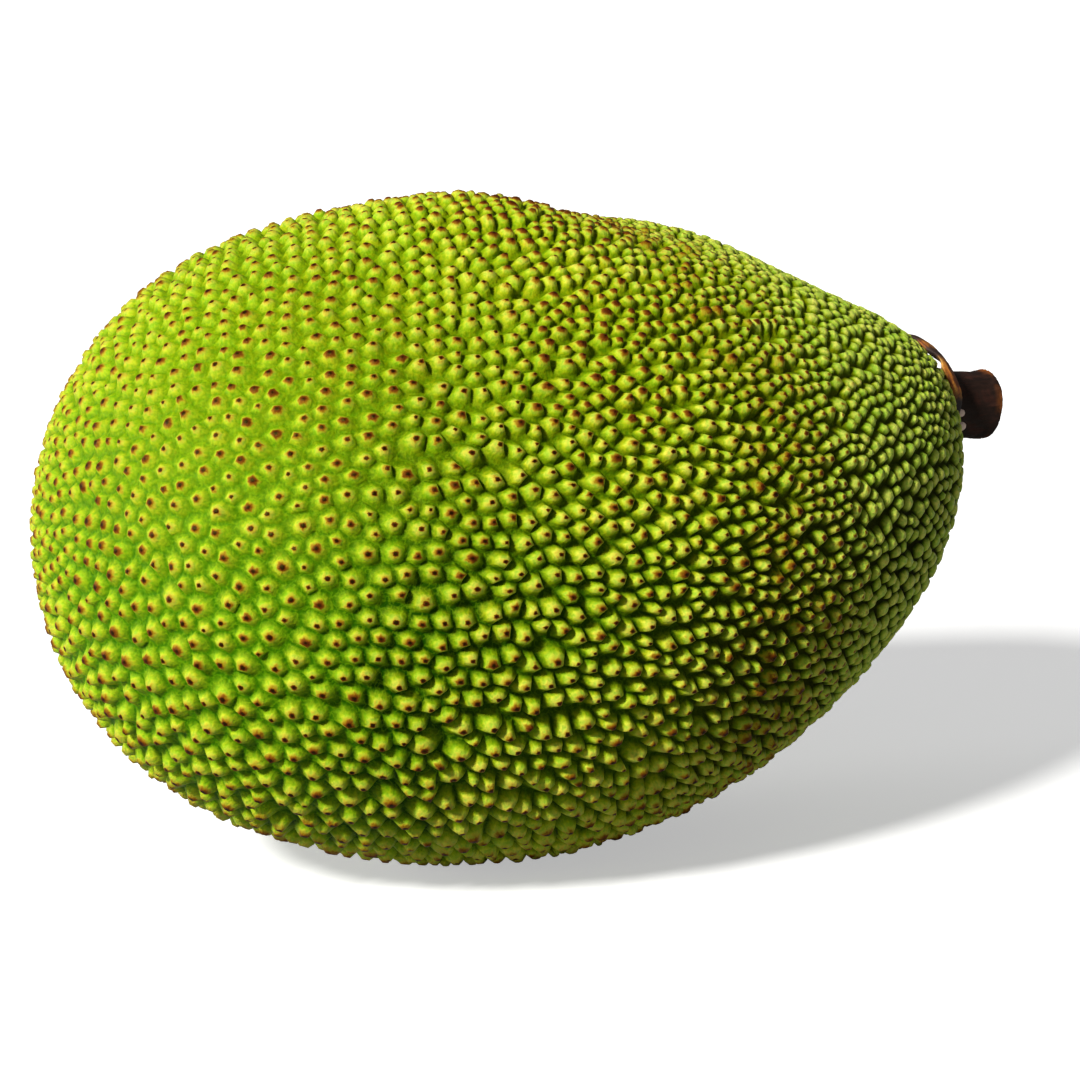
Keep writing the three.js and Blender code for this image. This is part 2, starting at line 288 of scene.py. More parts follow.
def spread_out(seats):
    """Pushes each seat away from those that are nearer to it than the usual spacing."""
    for _ in range(PUSHES):
        places = [skin_at(d) for d in seats]
        tree = kdtree.KDTree(len(seats))
        for i, place in enumerate(places):
            tree.insert(place, i)
        tree.balance()
        pushed = []
        for d, place in zip(seats, places):
            wanted = ELBOW_ROOM * spacing_at(d)
            stretch = math.sqrt(lengthened_at(d))
            push = Vector()
            for near, _, _ in tree.find_range(place, wanted * max(stretch, 1 / stretch)):
                away = place - near
                felt = Vector((away.x / stretch, away.y * stretch, away.z * stretch)).length
                if 0 < felt < wanted:
                    push += away * (PUSH * (wanted / felt - 1))
            radius = GIRTH_RADIUS * profile_at(d.x)
            step = Vector((push.x / HALF_LENGTH, push.y / radius, push.z / radius))
            pushed.append((d + step).normalized())
        seats = pushed
    return seats


seats = spread_out(seats)
print(len(seats), "tubercles")

# %% [markdown]
# ## Cells between the tubercles
# On the real rind the tubercles press on each other, so their feet form a net of mostly six-sided
# cells. That net is the dual of the mesh that joins neighbouring tips. Blender can make it in four
# strokes: a Delaunay triangulation joins the tips, poke puts a vertex in each triangle, rotating the
# first edges turns them into the walls between cells, and dissolving the tips leaves one face each.
# The triangulation works on a flat map, drawn round the blossom end. The map keeps small circles
# round, so that tips which are neighbours on the fruit are neighbours on the map.

# %% A net of cells
def flat_place(d):
    """A seat's place on the flat map that keeps small circles round."""
    row = next(i for i, line in enumerate(rows) if line[0] >= min(d.x, rows[-1][0]))
    before, after = rows[max(0, row - 1)], rows[max(1, row)]
    t = (d.x - before[0]) / (after[0] - before[0])
    reach = math.exp(mixed(before[2], after[2], t) - rows[MERIDIAN_STEPS // 2][2])
    return Vector((d.y, d.z)).normalized() * reach


def cell_net(seats):
    """A closed bmesh with one face for each tubercle; its vertices hold directions."""
    flat = [flat_place(tip) for tip in seats]
    points, _, triangles, origins, _, _ = delaunay_2d_cdt(flat, [], [], 0, 1e-9)
    bm = bmesh.new()
    seat_of_vert = bm.verts.layers.int.new("seat")
    for origin in origins:
        vert = bm.verts.new(seats[origin[0]])
        vert[seat_of_vert] = origin[0] + 1
    bm.verts.ensure_lookup_table()
    for triangle in triangles:
        bm.faces.new([bm.verts[i] for i in triangle])
    rim = [edge for edge in bm.edges if edge.is_boundary]
    bmesh.ops.holes_fill(bm, edges=rim, sides=0)
    tip_to_tip = bm.edges[:]
    tips = bm.verts[:]
    for corner in bmesh.ops.poke(bm, faces=bm.faces[:])["verts"]:
        corner[seat_of_vert] = 0
    bmesh.ops.rotate_edges(bm, edges=tip_to_tip)
    seat_of_face = bm.faces.layers.int.new("seat")
    for face in bm.faces:
        face[seat_of_face] = max(vert[seat_of_vert] for vert in face.verts)
    bmesh.ops.dissolve_verts(bm, verts=tips)
    return bm


net = cell_net(seats)
print(len(net.faces), "cells,", len(net.verts), "valley corners")

# %% [markdown]
# ## Three kinds of tubercle
# The tubercles change from end to end. At the blossom end they are low pimples on smooth open skin,
# on the belly they are steep cones that lean a little towards the stem, and near the stem they are
# blunt knobs pressed tight. Every value below is given for these three kinds and blended between them.

# %% Values from end to end
# each line holds the values of the blossom end, the belly and the stem end
RING_SHARES = ((0.74, 0.48, 0.22), (0.76, 0.48, 0.2), (0.76, 0.5, 0.24))  # from the tip at 0
RING_HEIGHTS = ((0.15, 0.57, 0.97), (0.26, 0.7, 0.97), (0.4, 0.82, 1.0))  # from the valley at 0
FEW_SHARES = ((0.66, 0.26), (0.68, 0.28), (0.74, 0.4))  # the same with two rings
FEW_HEIGHTS = ((0.18, 0.88), (0.4, 0.92), (0.5, 0.93))
DEPTHS = (0.4, 0.62, 0.42)  # valley depth as a share of the spacing
CROWN_HEIGHTS = (0.86, 1.0, 1.0)  # the scar at a blossom tip is sunk
TIP_SCARS = (1.0, 1.0, 0.06)  # how dry the very tip is
SCAR_REACHES = (1.0, 1.0, 0.12)  # how far a scar's spread counts
PITS = (1.0, 0.9, -0.9)  # how dark the pit in the tip's scar is; below 0 there is none
LEAN = (0.02, 0.1, 0.05)  # how far a tip leans towards the stem, as a share of the spacing


def blended(values, along):
    """A value at a place along the axis, from those at the blossom end, belly and stem end."""
    blossom, belly, stem_end = values
    value = mixed(belly, blossom, smooth(-along, 0.25, 0.85))
    return mixed(value, stem_end, smooth(along, 0.1, 0.6))


print("valley depth from end to end:", [blended(DEPTHS, along) for along in (-1, -0.5, 0, 0.5, 1)])

# %% [markdown]
# ## Worn tips
# A tip ends in a small dry scar. Where the fruit rubbed against its branch the scars are wide and
# brown. Such patches are named by their place on the fruit, and luck varies the scars within them.

# %% Scars
FRESH_SCAR = (0.25, 0.36)  # the least spread of a scar, and what luck adds at most
WORN_SCAR = (0.44, 0.52)  # the same where tips are worn
WORN_EDGE = (0.4, 1.6)  # wear fades out between these shares of how far a patch spreads
# place along the axis, degrees round it, how far it spreads, how strongly
WORN_PATCHES = (
    (-0.07, 104, 0.2, 1.0),
    (-0.07, 133, 0.16, 1.0),
    (-0.08, 145, 0.14, 1.0),
    (-0.64, 124, 0.28, 0.5),
    (-0.98, 120, 0.25, 0.5),
    (0.2, 20, 0.3, 0.6),
    (-0.3, -60, 0.3, 0.5),
)
worn_centres = [
    (direction(along, math.radians(degrees)), reach, strength)
    for along, degrees, reach, strength in WORN_PATCHES
]


def wear_at(d):
    """How worn the tips are in that direction, from 0 to 1."""
    return max(
        strength
        * (1 - smooth((d - centre).length, WORN_EDGE[0] * reach, WORN_EDGE[1] * reach))
        for centre, reach, strength in worn_centres
    )


def scar_of(d, luck):
    """How far a tip's scar spreads: small on most, wide on worn tips, next to none near the stem."""
    fresh = FRESH_SCAR[0] + FRESH_SCAR[1] * luck * luck
    worn = WORN_SCAR[0] + WORN_SCAR[1] * luck
    return mixed(fresh, worn, wear_at(d)) * blended(SCAR_REACHES, d.x)


print("a scar in the middle of the first patch:", scar_of(worn_centres[0][0], luck=0.5))

# %% [markdown]
# ## Gaps and luck
# Two things differ from one cell to the next. The wider the gap between two tips, the deeper the
# valley between them, and luck decides how far each tubercle grows, its tone and how far its scar
# spreads. All that the next steps need is noted on the vertices: these values, the height of each
# ring, and how dark the pit in the scar is.

# %% What each cell is given
NOTES = ("height", "growth", "tone", "scar", "pit", "gap")
GAP_POWER = 1.1  # how much deeper a wide gap between tips is than a narrow one
GROWTH = (0.76, 1.0)  # the heights that tubercles grow to, as a share of the tallest


def note_gaps(bm, seats):
    """Notes at each valley corner how wide the gap between the tips round it is."""
    seat_of_face = bm.faces.layers.int["seat"]
    gap = bm.verts.layers.float["gap"]
    for vert in bm.verts:
        around = [seats[face[seat_of_face] - 1] for face in vert.link_faces]
        place = skin_at(vert.co.normalized())
        reach = sum((skin_at(tip) - place).length for tip in around) / len(around)
        usual = spacing_at(vert.co.normalized()) / math.sqrt(3)
        vert[gap] = (reach / usual) ** GAP_POWER


def drawn_tubercles(bm, seats, draw):
    """Each cell's tip, and what luck gives it: its growth, its tone and the spread of its scar."""
    seat_of_face = bm.faces.layers.int["seat"]
    tips = {}
    for face in bm.faces:
        tip = seats[face[seat_of_face] - 1]
        spread = scar_of(tip, draw.random())
        tips[face] = (tip, draw.uniform(*GROWTH), draw.random(), spread)
    return tips


for name in NOTES:
    net.verts.layers.float.new(name)
note_gaps(net, seats)
draw = random.Random(71)
tips = drawn_tubercles(net, seats, draw)
print("growth of the first tubercle:", next(iter(tips.values()))[1])

# %% [markdown]
# ## Insetting the cells
# Each tubercle is drawn by insetting its cell a few times. Every inset makes a ring, which is pulled
# in towards the tip, rounded, and given a height, and poke ends it with a crown. The small tubercles
# of the stem half get fewer rings, so the whole rind stays light.

# %% Rings and crowns
SCAR_ON_RING = (0.6, 0.15, 0.0)  # how much of the spread each ring gets, from the top one down
ROUNDING = (0.5, 0.9, 1.0)  # how round each ring is, from its cell's outline at 0 to a circle at 1
MOST_ROUNDED = 1.2  # a corner is pushed out by no more than this factor
FEW_FROM = 0.15  # past this place along the axis two rings are enough
PIT_LUCK = (0.55, 1.0)


def leaning(d):
    """How far the tip of a tubercle is from above its foot, as a step in direction."""
    stemward = (Vector((1, 0, 0)) - d * d.x).normalized()
    return stemward * (blended(LEAN, d.x) * spacing_at(d) / HALF_LENGTH)


def inset_rings(bm, group, tips, shares, heights):
    """Insets a group of cells, ring after ring, and shapes each ring."""
    height, growth, tone, scar = (bm.verts.layers.float[name] for name in NOTES[:4])
    rings = len(shares[0])
    for ring in range(rings):
        bmesh.ops.inset_individual(bm, faces=group, thickness=0, use_even_offset=False)
        for cell in group:
            tip, size, hue, spread = tips[cell]
            share = blended([kind[ring] for kind in shares], tip.x)
            outer = blended([kind[ring - 1] for kind in shares], tip.x) if ring else 1.0
            level = blended([kind[ring] for kind in heights], tip.x)
            below = blended([kind[ring - 1] for kind in heights], tip.x) if ring else 0.0
            lean = leaning(tip)
            reach = sum((vert.co - tip - lean * below).length for vert in cell.verts)
            for vert in cell.verts:
                out = vert.co - tip - lean * below
                rounded = mixed(1, reach / len(cell.verts) / out.length, ROUNDING[ring])
                rounded = min(MOST_ROUNDED, rounded)
                vert.co = tip + lean * level + out * (share / outer * rounded)
                vert[height] = level
                vert[growth] = size
                vert[tone] = hue
                vert[scar] = spread * SCAR_ON_RING[rings - 1 - ring]


def poke_crowns(bm, cells, draw):
    """Ends each tubercle with a crown vertex, where the scar and its pit are."""
    height, growth, tone, scar, pit, gap = (bm.verts.layers.float[name] for name in NOTES)
    for vert in bmesh.ops.poke(bm, faces=cells)["verts"]:
        ring_vert = vert.link_edges[0].other_vert(vert)
        along = vert.co.normalized().x
        vert[height] = blended(CROWN_HEIGHTS, along)
        vert[growth] = ring_vert[growth]
        vert[tone] = ring_vert[tone]
        vert[gap] = 1.0
        vert[scar] = blended(TIP_SCARS, along)
        vert[pit] = draw.uniform(*PIT_LUCK) * max(0, blended(PITS, along))


full = [cell for cell, (tip, *_) in tips.items() if tip.x < FEW_FROM]
few = [cell for cell, (tip, *_) in tips.items() if tip.x >= FEW_FROM]
inset_rings(net, full, tips, RING_SHARES, RING_HEIGHTS)
inset_rings(net, few, tips, FEW_SHARES, FEW_HEIGHTS)
poke_crowns(net, list(tips), draw)
print(len(net.faces), "faces after the rings")

# %% [markdown]
# ## Laying the cells on the skin
# So far each vertex is only a direction and a height. Now it goes to its place: out to the skin in
# that direction, then back down along the normal by as much as its height falls short of the tip.
# Around the stem's foot the tubercles fade into plain rind, and the tips under the belly are pressed
# flat by the fruit's weight.

# %% The rind
STEM_RISE = 1.7 * MM  # the stem comes out this much above the end of the fruit's axis
stem_foot = skin_at(Vector((1, 0, 0))) + Vector((0, 0, STEM_RISE))
BARE_NEAR_STEM = (18 * MM, 31 * MM)  # tubercles fade out between these distances from its middle
TIP_DROP = 0.5 * MM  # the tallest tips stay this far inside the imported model's skin
GAP_LIMITS = (0.6, 1.5)  # how shallow or deep a valley gets for the width of its gap


def lay_on_skin(bm):
    """Moves each vertex from its direction and height to its place on the fruit."""
    height = bm.verts.layers.float["height"]
    growth = bm.verts.layers.float["growth"]
    gap = bm.verts.layers.float["gap"]
    for vert in bm.verts:
        d = vert.co.normalized()
        place = skin_at(d)
        wide = min(GAP_LIMITS[1], max(GAP_LIMITS[0], vert[gap]))
        depth = blended(DEPTHS, d.x) * spacing_at(d) * wide
        near_stem = (place - stem_foot).length if d.x > 0.8 else 1
        grown = vert[height] * (vert[growth] if vert[growth] else 1.0)
        grown *= smooth(near_stem, *BARE_NEAR_STEM)
        vert.co = place - normal_at(d) * (TIP_DROP + depth * (1 - grown))
        vert.co.z = max(0.0, vert.co.z)


def piece_from(bm, name):
    """Turns a bmesh into a smoothly shaded piece."""
    bmesh.ops.recalc_face_normals(bm, faces=bm.faces[:])
    mesh = bpy.data.meshes.new(name)
    for face in bm.faces:
        face.smooth = True
    bm.to_mesh(mesh)
    bm.free()
    piece = bpy.data.objects.new(name, mesh)
    bpy.context.scene.collection.objects.link(piece)
    triangles = sum(len(polygon.vertices) - 2 for polygon in mesh.polygons)
    print(name, "has", triangles, "triangles")
    return piece


lay_on_skin(net)
rind = piece_from(net, "tubercled_rind")
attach(rind, "root")
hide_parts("rind")

# %% [markdown]
# ## A small kit for materials
# Every finish below is a tree of nodes. Small helpers keep those trees short. One adds a node and
# fills its inputs, one mixes two colours, and one turns a number into a colour or a mask through a
# ramp. Colours are given as the eye reads them and turned into the linear values that Blender wants.

# %% Nodes, mixes and ramps
def shade(red, green, blue):
    """A colour from 0 to 255 as a linear colour with alpha."""
    linear = [
        c / 12.92 if c <= 0.04045 else ((c + 0.055) / 1.055) ** 2.4
        for c in (red / 255, green / 255, blue / 255)
    ]
    return (*linear, 1.0)


def add_node(tree, kind, inputs=None, **settings):
    """Adds a node. An input is a value, or a socket to link from."""
    node = tree.nodes.new(kind)
    for key, value in settings.items():
        setattr(node, key, value)
    for key, value in (inputs or {}).items():
        if isinstance(value, bpy.types.NodeSocket):
            tree.links.new(value, node.inputs[key])
        else:
            node.inputs[key].default_value = value
    return node


def mix_colour(tree, factor, a, b, blend="MIX"):
    inputs = {0: factor, 6: a, 7: b}
    return add_node(tree, "ShaderNodeMix", inputs, data_type="RGBA", blend_type=blend).outputs[2]


def ramp(tree, value, stops):
    """A ramp through (position, grey or colour) stops."""
    node = add_node(tree, "ShaderNodeValToRGB", {"Fac": value})
    elements = node.color_ramp.elements
    while len(elements) < len(stops):
        elements.new(0.5)
    for element, (position, colour) in zip(elements, stops):
        element.position = position
        element.color = colour if isinstance(colour, tuple) else (colour, colour, colour, 1)
    return node.outputs["Color"]


print("a middle grey as a linear colour:", shade(128, 128, 128))

# %% [markdown]
# ## Patterns and relief
# Noise breaks every finish up, short sums steer it, and a bump node makes fine relief of it. What was
# noted on the vertices is read by name. A new finish starts from Object coordinates, so that its
# patterns stay where they are on the piece.

# %% Sums, noise and relief
def maths(tree, operation, a, b, c=0.0):
    return add_node(tree, "ShaderNodeMath", {0: a, 1: b, 2: c}, operation=operation).outputs[0]


def noise_at(tree, place, scale, detail):
    inputs = {"Vector": place, "Scale": scale, "Detail": detail}
    return add_node(tree, "ShaderNodeTexNoise", inputs).outputs["Fac"]


def eased(tree, value, low, high, most=1.0):
    """0 below low, most above high, and a smooth rise between them."""
    inputs = {"Value": value, "From Min": low, "From Max": high, "To Max": most}
    node = add_node(tree, "ShaderNodeMapRange", inputs, interpolation_type="SMOOTHSTEP")
    return node.outputs["Result"]


def add_relief(tree, shader, height, strength, distance):
    inputs = {"Height": height, "Strength": strength, "Distance": distance}
    bump = add_node(tree, "ShaderNodeBump", inputs)
    tree.links.new(bump.outputs["Normal"], shader.inputs["Normal"])


def attribute(tree, name):
    return add_node(tree, "ShaderNodeAttribute", attribute_name=name).outputs["Fac"]


def new_finish(name):
    """A material with an empty tree, its shader and its Object coordinates."""
    finish = bpy.data.materials.new(name)
    finish.use_nodes = True
    tree = finish.node_tree
    shader = tree.nodes["Principled BSDF"]
    place = add_node(tree, "ShaderNodeTexCoord").outputs["Object"]
    return finish, tree, shader, place


# %% [markdown]
# ## Bands of green
# The skin is yellow-green at the blossom end, and its valleys turn leaf green towards the stem, with
# painted shade that darkens them to nearly black near it. Towards the top the valleys are painted
# lighter and yellower, as painted light. Each tubercle is darkest in the valley, where the shade is
# painted, lighter up its flank and yellow at its crown. The heights noted on the vertices steer those
# bands, and noise draws faint pale lines of painted glints on the open skin of the blossom end.

# %% Green from valley to crown
def green_bands(tree, place):
    """The skin's green with painted shade, light and glints, and how near the stem and out of the
    valley.
    """
    height = attribute(tree, "height")
    axes = add_node(tree, "ShaderNodeSeparateXYZ", {0: place}).outputs
    wander = maths(tree, "MULTIPLY_ADD", noise_at(tree, place, 14, 3), 0.12, -0.06)
    along = maths(tree, "ADD", axes["X"], wander)
    end = eased(tree, along, -0.21, 0.16)  # 0 at the blossom end, 1 at the stem end
    # painted light: towards the top, where the light falls, the valleys are painted lighter and
    # yellower
    painted_top_light = eased(tree, axes["Z"], 0.13, 0.27, most=0.6)

    # painted shade: the valley's leaf green is darkened where shade falls between tubercles, to nearly
    # black near the stem
    valley = ramp(
        tree,
        end,
        [
            (0, shade(70, 122, 0)),
            (0.12, shade(8, 72, 0)),
            (0.45, shade(62, 92, 0)),
            (0.7, shade(64, 70, 2)),
            (1, shade(32, 36, 4)),
        ],
    )
    # painted light on the valleys over the top
    valley = mix_colour(tree, painted_top_light, valley, shade(162, 174, 0))
    flank = ramp(
        tree,
        end,
        [
            (0, shade(184, 204, 36)),
            (0.12, shade(164, 190, 22)),
            (0.45, shade(208, 220, 32)),
            (1, shade(140, 170, 14)),
        ],
    )
    crown = ramp(
        tree,
        end,
        [(0, shade(214, 212, 80)), (0.45, shade(244, 240, 104)), (1, shade(244, 252, 112))],
    )
    # painted shade: under this band the skin takes the shaded valley colour, above it the flank's
    painted_shade_height = maths(tree, "MULTIPLY_ADD", end, -0.3, height)  # the painted valley shade reaches further up each tubercle near the stem
    low = ramp(tree, painted_shade_height, [(0.02, 0.0), (0.54, 1.0)])
    high = ramp(tree, height, [(0.5, 0.0), (0.95, 1.0)])
    skin = mix_colour(tree, low, valley, flank)
    skin = mix_colour(tree, high, skin, crown)

    # painted highlight: faint pale lines stand in for glints where fine creases catch the light
    painted_glints = ramp(tree, noise_at(tree, place, 300, 2), [(0.43, 0.0), (0.5, 1.0), (0.57, 0.0)])
    open_skin = ramp(tree, painted_shade_height, [(0.2, 1.0), (0.6, 0.0)])
    painted_glint_strength = maths(tree, "MULTIPLY", open_skin, ramp(tree, end, [(0.1, 0.24), (0.7, 0.0)]))
    skin = mix_colour(tree, maths(tree, "MULTIPLY", painted_glints, painted_glint_strength), skin, shade(176, 212, 30))
    return skin, end, low


# %% [markdown]
# ## Dry tips and a waxy shine
# A tip ends in a dry scar, brown round a black pit, with a frayed edge. The scar and the pit noted on
# the vertices say where, and the same fine noise that mottles the skin frays them. The wax on the
# flanks shines a little in places, and the valleys are duller.

# %% Rind finish
def dry_tips(tree, skin, fine):
    """The skin's colour with a scar at each tip."""
    frayed = maths(tree, "MULTIPLY_ADD", fine, 0.3, -0.15)
    scar = maths(tree, "ADD", attribute(tree, "scar"), frayed)
    corky = ramp(
        tree,
        scar,
        [(0.12, shade(176, 150, 24)), (0.3, shade(116, 62, 14)), (0.46, shade(80, 32, 8))],
    )
    skin = mix_colour(tree, ramp(tree, scar, [(0.08, 0.0), (0.22, 1.0)]), skin, corky)
    pit = maths(tree, "ADD", attribute(tree, "pit"), frayed)
    black = ramp(tree, pit, [(0.24, 0.0), (0.42, 1.0)])
    return mix_colour(tree, black, skin, shade(30, 12, 2))


def rind_finish():
    finish, tree, shader, place = new_finish("waxy_rind")
    fine = noise_at(tree, place, 620, 4)
    skin, end, low = green_bands(tree, place)
    tone = attribute(tree, "tone")
    varied = ramp(tree, tone, [(0, shade(226, 240, 200)), (1, shade(255, 246, 255))])
    skin = mix_colour(tree, 1.0, skin, varied, "MULTIPLY")
    mottled = ramp(tree, fine, [(0.36, shade(190, 222, 190)), (0.64, shade(255, 252, 255))])
    skin = mix_colour(tree, 1.0, skin, mottled, "MULTIPLY")
    skin = dry_tips(tree, skin, fine)
    tree.links.new(skin, shader.inputs["Base Color"])

    shader.inputs["Specular IOR Level"].default_value = 0.16
    shader.inputs["Specular Tint"].default_value = (1, 0.95, 0.15, 1)
    gloss = ramp(tree, fine, [(0.2, 0.3), (0.8, 0.5)])
    dull = ramp(tree, end, [(0.2, 0.55), (0.7, 0.8)])
    matt = mix_colour(tree, low, dull, gloss)  # the wax is only up the flanks
    tree.links.new(matt, shader.inputs["Roughness"])
    add_relief(tree, shader, fine, 0.8, 0.8 * MM)
    return finish


rind.data.materials.append(rind_finish())
print("rind finish:", len(rind.data.materials[0].node_tree.nodes), "nodes")

# %% [markdown]
# ## The cut stem
# A jackfruit hangs from a stout woody stalk, and picking leaves a stub of it. It could be a plain
# cylinder, but a turned profile is as easy and carries the flared foot and the rolled lip at the cut.
# The stem and its collar are made upright first, along Z, and then set on the fruit by this frame.

# %% The stem's frame
STEM_RADIUS = 15.9 * MM
STEM_LENGTH = 27.6 * MM
STEM_ROOT = 9 * MM  # how deep it reaches into the fruit
STEM_DROOP = math.radians(6)  # it points down a little

stem_axis = Vector((math.cos(STEM_DROOP), 0, -math.sin(STEM_DROOP)))
across = Vector((0, 1, 0))
stem_frame = Matrix((across, stem_axis.cross(across), stem_axis)).transposed().to_4x4()
stem_frame.translation = stem_foot
to_stem = stem_frame.inverted()
print("the stem leaves the fruit at", stem_foot)

# %% [markdown]
# ## Turning the stem
# The profile below runs from the middle of the stem's root, up its side and over the lip to the
# middle of the cut. Its points are heights above the skin, so the stem can be made longer by changing
# one number. Before the spin every stretch but the first is cut in four, so that ribs and cracks
# have vertices to bend.

# %% The stem's profile
STEM_STEPS = 96
# radius as a share of the stem's, height above the skin
STEM_PROFILE = (
    (0.0, -STEM_ROOT),
    (0.9, -STEM_ROOT),
    (1.1, -1 * MM),
    (1.05, 3 * MM),
    (1.01, 8 * MM),
    (1.0, STEM_LENGTH - 8 * MM),
    (1.03, STEM_LENGTH - 4 * MM),
    (1.03, STEM_LENGTH - 1.8 * MM),
    (0.95, STEM_LENGTH - 0.3 * MM),
    (0.86, STEM_LENGTH - 0.9 * MM),
    (0.55, STEM_LENGTH),
    (0.16, STEM_LENGTH - 0.3 * MM),
    (0.0, STEM_LENGTH - 1.0 * MM),
)


def turned_stem():
    """The stem turned from its profile, upright at the origin."""
    bm = bmesh.new()
    line = [bm.verts.new((share * STEM_RADIUS, 0, height)) for share, height in STEM_PROFILE]
    edges = [bm.edges.new(pair) for pair in zip(line, line[1:])]
    bmesh.ops.subdivide_edges(bm, edges=edges[1:], cuts=3)
    bmesh.ops.spin(
        bm, geom=bm.verts[:] + bm.edges[:], axis=(0, 0, 1), angle=math.tau,
        steps=STEM_STEPS, use_merge=True,
    )
    bmesh.ops.remove_doubles(bm, verts=bm.verts[:], dist=0.01 * MM)
    return bm


stub = turned_stem()
print("the turned stem has", len(stub.faces), "faces")

# %% [markdown]
# ## Ribs, cracks and a torn lip
# Each vertex of the turned stem is moved a little: the stem is slightly oval, ribbed along its length
# and cracked by noise, with a torn lip on the upper side of its cut. The vertices of the rim and the
# cut's face are marked for the finish.

# %% The stem
STEM_OVAL = 0.025  # how far the stem is from round, as a share of its radius
STEM_RIBS = 0.02  # five shallow ribs, that grow towards the cut
LIP = 0.08  # how far the torn lip of the cut stands out on one side, as a share of the radius
LIP_AT = 1.9  # its place round the stem from +Y by +Z, in radians
LIP_SHARPNESS = 5
# heights between which the lip, the rim's mask and the cut's mask rise from nothing to full
LIP_RISE = (STEM_LENGTH - 7 * MM, STEM_LENGTH - 2 * MM)
RIM_RISE = (STEM_LENGTH - 6 * MM, STEM_LENGTH - 1.5 * MM)
CUT_RISE = (STEM_LENGTH - 2.2 * MM, STEM_LENGTH - 0.8 * MM)
BARK_EDGE = (0.86 * STEM_RADIUS, 0.97 * STEM_RADIUS)  # the cut's face turns to bark between these
BARK_RELIEF = 0.5 * MM  # how deep the cracks of the bark are
CUT_RELIEF = 0.35 * MM


def weather_stem(bm):
    """Ribs, cracks and tears, with masks for the rim and the face of the cut."""
    cut = bm.verts.layers.float.new("cut")
    rim = bm.verts.layers.float.new("rim")
    for vert in bm.verts:
        x, y, z = vert.co
        angle, radius = math.atan2(y, x), math.hypot(x, y)
        ribbed = STEM_RIBS * smooth(z, 0, STEM_LENGTH)
        uneven = 1 + STEM_OVAL * math.cos(2 * angle + 0.7) + ribbed * math.cos(5 * angle - 0.4)
        lip = LIP * smooth(z, *LIP_RISE)
        uneven += lip * max(0, math.cos(angle - LIP_AT)) ** LIP_SHARPNESS
        side = smooth(radius, *BARK_EDGE)
        grain = Vector((7 * math.cos(angle), 7 * math.sin(angle), 60 * z))
        cracks = noise.fractal(grain, 1, 2, 4)
        fibres = noise.fractal(Vector((x, y, 0)) * 900, 1, 2, 3)
        vert.co.x *= uneven * (1 - BARK_RELIEF * abs(cracks) / STEM_RADIUS)
        vert.co.y *= uneven * (1 - BARK_RELIEF * abs(cracks) / STEM_RADIUS)
        end = smooth(z, *CUT_RISE)
        vert[cut] = end * (1 - side)
        vert[rim] = smooth(z, *RIM_RISE) * side
        vert.co.z -= CUT_RELIEF * end * (1 + fibres)


weather_stem(stub)
bmesh.ops.transform(stub, matrix=stem_frame, verts=stub.verts[:])
stem = piece_from(stub, "stem_bark")
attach(stem, "root")
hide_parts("stem")

# %% [markdown]
# ## Bark and cut wood
# The stub has dried almost black, with a red-brown cast and paler scuffs. Round the rim of the cut,
# orange-brown patches are a painted highlight, and the cut face is dry brown fibre. The two masks
# noted on the vertices, rim and cut, say where each of these goes.

# %% Stem finish
def stem_finish():
    finish, tree, shader, place = new_finish("dried_bark")
    stretched = add_node(tree, "ShaderNodeMapping", {"Vector": place, "Scale": (0.25, 1, 1)})
    grain = noise_at(tree, stretched.outputs[0], 520, 6)
    blotch = noise_at(tree, place, 90, 4)
    bark = ramp(
        tree, grain, [(0.3, shade(22, 13, 11)), (0.6, shade(38, 22, 18)), (0.85, shade(62, 34, 26))]
    )
    scuffed = ramp(tree, blotch, [(0.55, 0.0), (0.72, 0.7)])
    bark = mix_colour(tree, scuffed, bark, shade(74, 36, 28))
    # painted highlight: orange-brown patches round the rim of the cut
    patchy = ramp(tree, blotch, [(0.4, 0.0), (0.6, 1.0)])
    painted_rim_highlight = maths(tree, "MULTIPLY", attribute(tree, "rim"), patchy)
    bark = mix_colour(tree, painted_rim_highlight, bark, shade(166, 92, 34))
    wood = ramp(
        tree,
        grain,
        [(0.3, shade(92, 62, 38)), (0.6, shade(160, 122, 78)), (0.8, shade(196, 164, 118))],
    )
    surface = mix_colour(tree, attribute(tree, "cut"), bark, wood)
    tree.links.new(surface, shader.inputs["Base Color"])
    shader.inputs["Specular IOR Level"].default_value = 0.25
    shader.inputs["Specular Tint"].default_value = (1, 0.85, 0.7, 1)
    rough = ramp(tree, grain, [(0.2, 0.5), (0.8, 0.8)])
    tree.links.new(rough, shader.inputs["Roughness"])
    add_relief(tree, shader, grain, 0.7, 0.8 * MM)
    return finish


stem.data.materials.append(stem_finish())
print("stem finish:", len(stem.data.materials[0].node_tree.nodes), "nodes")

# %% [markdown]
# ## The dried collar
# Where the stalk meets the fruit, the bracts that once wrapped the flower head have dried to a ring of
# fibre, and one stretch of it has pulled away from the shoulder in a small arch. Two things are needed
# to set the ring down: where the arch is, and how far the skin falls away beside the stem. The second
# has no short formula, so it is found by walking over the skin in a few rounds.

# %% Round the stem's foot
ARCH_AT = math.radians(122)  # the arch's middle, round the stem from +Y by +Z
ARCH_HALF_ANGLE = math.radians(60)
SHOULDER_ROUNDS = 12  # enough for a place on the skin to settle


def arch_at(angle):
    """How much of the arch is felt at an angle round the stem, from 0 to 1."""
    away = math.remainder(angle - ARCH_AT, math.tau)
    share = max(0.0, 1 - (away / ARCH_HALF_ANGLE) ** 2)
    return share * share * (3 - 2 * share)


def window(angle, middle, half_angle):
    """1 at the middle of a stretch round the stem, falling to 0 at its ends."""
    away = math.remainder(angle - middle, math.tau) / half_angle
    return max(0.0, 1 - away * away)


